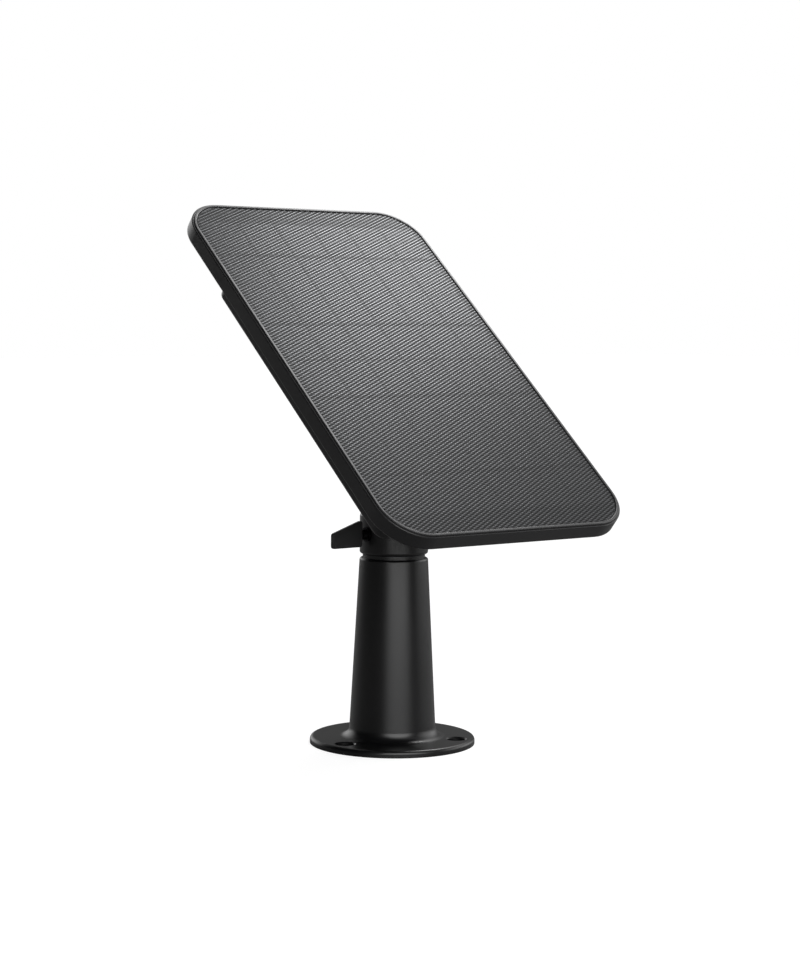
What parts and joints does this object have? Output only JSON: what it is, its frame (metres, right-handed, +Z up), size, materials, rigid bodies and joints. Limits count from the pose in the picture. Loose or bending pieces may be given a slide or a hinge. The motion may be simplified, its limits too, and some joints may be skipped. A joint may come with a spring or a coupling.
{
  "type": "solar panel on stand",
  "caption": "Rectangular solar charging panel with a textured face, tilting on a ball head with a thumb lever, on a tapered post with a round screw-down flange.",
  "frame": {"origin": "centre of the flange's underside, on the post's axis", "axes": "+Z up along the post; the panel's width runs along X and its face looks towards -Y and up"},
  "size_m": [0.115, 0.149, 0.2122],
  "materials": {
    "housing_plastic": "fine moulded grain, satin",
    "bezel_plastic": "smooth satin rim",
    "textured_film": "embossed clear film over dark cells",
    "encapsulant": "clear",
    "tinned_copper": "tinned",
    "copper": "bare",
    "silicon": "dark coated crystal",
    "board_laminate": "glass-fibre laminate, black",
    "circuit_laminate": "solder mask",
    "foam": "closed-cell foam",
    "rubber": "matt",
    "steel": "plated",
    "ferrite": "matt",
    "chip_plastic": "moulded",
    "ceramic": "fired",
    "brass": "turned",
    "gland_plastic": "moulded",
    "stud_metal": "turned, satin",
    "anodised_black": "black anodised",
    "head_paint": "satin black coat",
    "nylon": "natural",
    "lever_plastic": "satin",
    "stand_plastic": "satin",
    "neck_plastic": "smooth"
  },
  "bodies": {
    "stand": {"stand_cone": "stand_plastic", "base_pad": "rubber", "neck_ring": "neck_plastic", "swivel_washer": "steel"},
    "head": {"head_shell": "head_paint", "retaining_ring": "head_paint", "ball_seat": "nylon", "seat_spring": "steel", "clamp_bush": "brass", "swivel_bolt": "steel", "swivel_nut": "steel"},
    "clamp": {"pressure_shoe": "nylon", "lever_washer": "steel"},
    "lever": {"clamp_screw": "steel", "lever_paddle": "lever_plastic"},
    "stud": {"ball_stud": "stud_metal"},
    "washer": {"stud_washer": "rubber"},
    "wheel": {"lock_wheel": "anodised_black"},
    "panel": {"rear_housing": "housing_plastic", "front_bezel": "bezel_plastic", "cover_film": "textured_film", "encapsulant": "encapsulant", "busbar_ribbons": "tinned_copper", "cell_upper_1": "silicon", "cell_upper_2": "silicon", "cell_upper_3": "silicon", "cell_upper_4": "silicon", "cell_upper_5": "silicon", "cell_upper_6": "silicon", "cell_lower_1": "silicon", "cell_lower_2": "silicon", "cell_lower_3": "silicon", "cell_lower_4": "silicon", "cell_lower_5": "silicon", "cell_lower_6": "silicon", "backing_board": "board_laminate", "support_pads": "foam", "lead_ribbons": "copper", "rear_cover": "housing_plastic", "cover_gasket": "rubber", "cover_screws": "steel", "circuit_board": "circuit_laminate", "board_screws": "steel", "inductor": "ferrite", "regulator_chip": "chip_plastic", "output_capacitors": "ceramic", "blocking_diode": "chip_plastic", "threaded_insert": "brass", "cable_gland": "gland_plastic", "gland_seal": "rubber"}
  },
  "joints": [
    {"name": "head_swivel", "type": "hinge", "parent": "stand", "child": "head", "pos_m": [0, 0, 0.0752], "axis": [0, 0, 1], "continuous": true},
    {"name": "clamp_slide", "type": "slide", "parent": "head", "child": "clamp", "axis": [-1, 0, 0], "range_m": [0, 0.000524]},
    {"name": "lever_turn", "type": "hinge", "parent": "clamp", "child": "lever", "pos_m": [0, 0, 0.0834], "axis": [-1, 0, 0], "range_deg": [0, 270]},
    {"name": "panel_tilt", "type": "hinge", "parent": "head", "child": "stud", "pos_m": [0, 0, 0.0891], "axis": [1, 0, 0], "range_deg": [-88, 8]},
    {"name": "wheel_slide", "type": "slide", "parent": "stud", "child": "washer", "axis": [0, 0.6428, -0.766], "range_m": [0, 0.000888]},
    {"name": "wheel_turn", "type": "hinge", "parent": "washer", "child": "wheel", "pos_m": [0, 0, 0.0891], "axis": [0, 0.6428, -0.766], "range_deg": [0, 252]},
    {"name": "panel_spin", "type": "hinge", "parent": "stud", "child": "panel", "pos_m": [0, 0, 0.0891], "axis": [0, -0.6428, 0.766], "range_deg": [-180, 180]}
  ],
  "couplings": [
    {"joint": "lever_turn", "follows": "clamp_slide", "rad_per_m": 8976},
    {"joint": "wheel_turn", "follows": "wheel_slide", "rad_per_m": 4947.4}
  ]
}
